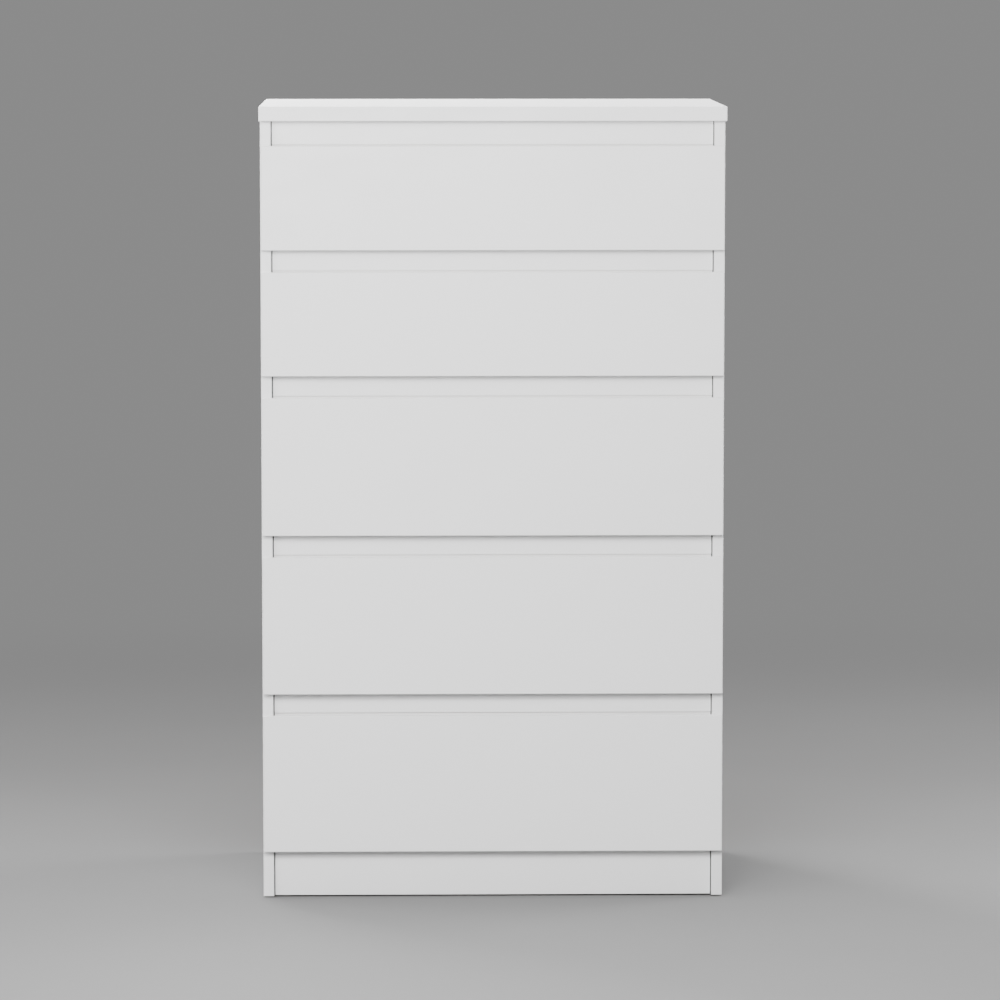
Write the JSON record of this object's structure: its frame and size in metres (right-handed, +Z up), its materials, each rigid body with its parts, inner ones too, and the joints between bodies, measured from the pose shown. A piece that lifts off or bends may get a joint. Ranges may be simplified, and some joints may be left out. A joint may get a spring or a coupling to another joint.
{
  "type": "tall chest of drawers",
  "caption": "Tall narrow white chest of full-width drawers without handles, opened by finger gaps, on hidden roller runners over a recessed plinth.",
  "frame": {"origin": "on the floor, under the middle of the chest", "axes": "+Z up, +X to the right of a person facing the drawers, +Y towards the back, so the drawers face and open towards -Y"},
  "size_m": [0.7, 0.42, 1.2],
  "materials": {
    "white_board": "satin white melamine foil on particleboard, with white edge banding",
    "hardboard": "matt white lacquer on the inner face of the hardboard; bare brown outer face and cut edges",
    "white_coated_steel": "white powder coat",
    "white_plastic": "matt moulded plastic",
    "nylon": "smooth natural nylon",
    "beech": "fluted beech, unfinished",
    "zinc_plated_steel": "bright zinc plating",
    "zinc_alloy": "dull die-cast zinc"
  },
  "bodies": {
    "carcass": {"top_panel": "white_board", "left_side_panel": "white_board", "right_side_panel": "white_board", "front_rail_1": "white_board", "front_rail_2": "white_board", "front_rail_3": "white_board", "front_rail_4": "white_board", "front_rail_5": "white_board", "plinth": "white_board", "rear_top_rail": "white_board", "rear_bottom_rail": "white_board", "upper_back_panel": "hardboard", "lower_back_panel": "hardboard", "back_joint_strip": "white_plastic", "floor_glides": "white_plastic", "dowels": "beech", "cam_bolts": "zinc_plated_steel", "cam_locks": "zinc_alloy", "runner_screws": "zinc_plated_steel", "back_panel_screws": "zinc_plated_steel", "bracket_screws": "zinc_plated_steel", "wall_brackets": "zinc_plated_steel", "left_cabinet_runners": "white_coated_steel", "right_cabinet_runners": "white_coated_steel"},
    "drawer_1": {"drawer_1_front": "white_board", "drawer_1_sides": "white_board", "drawer_1_back": "white_board", "drawer_1_bottom": "hardboard", "drawer_1_runners": "white_coated_steel"},
    "drawer_1_rolling": {"drawer_1_rollers": "nylon"},
    "cabinet_rolling_1": {"cabinet_rollers_1": "nylon"},
    "drawer_2": {"drawer_2_front": "white_board", "drawer_2_sides": "white_board", "drawer_2_back": "white_board", "drawer_2_bottom": "hardboard", "drawer_2_runners": "white_coated_steel"},
    "drawer_2_rolling": {"drawer_2_rollers": "nylon"},
    "cabinet_rolling_2": {"cabinet_rollers_2": "nylon"},
    "drawer_3": {"drawer_3_front": "white_board", "drawer_3_sides": "white_board", "drawer_3_back": "white_board", "drawer_3_bottom": "hardboard", "drawer_3_runners": "white_coated_steel"},
    "drawer_3_rolling": {"drawer_3_rollers": "nylon"},
    "cabinet_rolling_3": {"cabinet_rollers_3": "nylon"},
    "drawer_4": {"drawer_4_front": "white_board", "drawer_4_sides": "white_board", "drawer_4_back": "white_board", "drawer_4_bottom": "hardboard", "drawer_4_runners": "white_coated_steel"},
    "drawer_4_rolling": {"drawer_4_rollers": "nylon"},
    "cabinet_rolling_4": {"cabinet_rollers_4": "nylon"},
    "drawer_5": {"drawer_5_front": "white_board", "drawer_5_sides": "white_board", "drawer_5_back": "white_board", "drawer_5_bottom": "hardboard", "drawer_5_runners": "white_coated_steel"},
    "drawer_5_rolling": {"drawer_5_rollers": "nylon"},
    "cabinet_rolling_5": {"cabinet_rollers_5": "nylon"}
  },
  "joints": [
    {"name": "drawer_1_slide", "type": "slide", "parent": "carcass", "child": "drawer_1", "axis": [0, -1, 0], "range_m": [0, 0.265]},
    {"name": "drawer_1_roller_axle", "type": "hinge", "parent": "drawer_1", "child": "drawer_1_rolling", "pos_m": [0, 0.146, 1.0113], "axis": [1, 0, 0], "continuous": true},
    {"name": "cabinet_roller_axle_1", "type": "hinge", "parent": "carcass", "child": "cabinet_rolling_1", "pos_m": [0, -0.176, 1.0113], "axis": [1, 0, 0], "continuous": true},
    {"name": "drawer_2_slide", "type": "slide", "parent": "carcass", "child": "drawer_2", "axis": [0, -1, 0], "range_m": [0, 0.265]},
    {"name": "drawer_2_roller_axle", "type": "hinge", "parent": "drawer_2", "child": "drawer_2_rolling", "pos_m": [0, 0.146, 0.8223], "axis": [1, 0, 0], "continuous": true},
    {"name": "cabinet_roller_axle_2", "type": "hinge", "parent": "carcass", "child": "cabinet_rolling_2", "pos_m": [0, -0.176, 0.8223], "axis": [1, 0, 0], "continuous": true},
    {"name": "drawer_3_slide", "type": "slide", "parent": "carcass", "child": "drawer_3", "axis": [0, -1, 0], "range_m": [0, 0.265]},
    {"name": "drawer_3_roller_axle", "type": "hinge", "parent": "drawer_3", "child": "drawer_3_rolling", "pos_m": [0, 0.146, 0.5813], "axis": [1, 0, 0], "continuous": true},
    {"name": "cabinet_roller_axle_3", "type": "hinge", "parent": "carcass", "child": "cabinet_rolling_3", "pos_m": [0, -0.176, 0.5813], "axis": [1, 0, 0], "continuous": true},
    {"name": "drawer_4_slide", "type": "slide", "parent": "carcass", "child": "drawer_4", "axis": [0, -1, 0], "range_m": [0, 0.265]},
    {"name": "drawer_4_roller_axle", "type": "hinge", "parent": "drawer_4", "child": "drawer_4_rolling", "pos_m": [0, 0.146, 0.3403], "axis": [1, 0, 0], "continuous": true},
    {"name": "cabinet_roller_axle_4", "type": "hinge", "parent": "carcass", "child": "cabinet_rolling_4", "pos_m": [0, -0.176, 0.3403], "axis": [1, 0, 0], "continuous": true},
    {"name": "drawer_5_slide", "type": "slide", "parent": "carcass", "child": "drawer_5", "axis": [0, -1, 0], "range_m": [0, 0.265]},
    {"name": "drawer_5_roller_axle", "type": "hinge", "parent": "drawer_5", "child": "drawer_5_rolling", "pos_m": [0, 0.146, 0.0993], "axis": [1, 0, 0], "continuous": true},
    {"name": "cabinet_roller_axle_5", "type": "hinge", "parent": "carcass", "child": "cabinet_rolling_5", "pos_m": [0, -0.176, 0.0993], "axis": [1, 0, 0], "continuous": true}
  ],
  "couplings": [
    {"joint": "drawer_1_roller_axle", "follows": "drawer_1_slide", "rad_per_m": 111.11},
    {"joint": "cabinet_roller_axle_1", "follows": "drawer_1_slide", "rad_per_m": 111.11},
    {"joint": "drawer_2_roller_axle", "follows": "drawer_2_slide", "rad_per_m": 111.11},
    {"joint": "cabinet_roller_axle_2", "follows": "drawer_2_slide", "rad_per_m": 111.11},
    {"joint": "drawer_3_roller_axle", "follows": "drawer_3_slide", "rad_per_m": 111.11},
    {"joint": "cabinet_roller_axle_3", "follows": "drawer_3_slide", "rad_per_m": 111.11},
    {"joint": "drawer_4_roller_axle", "follows": "drawer_4_slide", "rad_per_m": 111.11},
    {"joint": "cabinet_roller_axle_4", "follows": "drawer_4_slide", "rad_per_m": 111.11},
    {"joint": "drawer_5_roller_axle", "follows": "drawer_5_slide", "rad_per_m": 111.11},
    {"joint": "cabinet_roller_axle_5", "follows": "drawer_5_slide", "rad_per_m": 111.11}
  ]
}
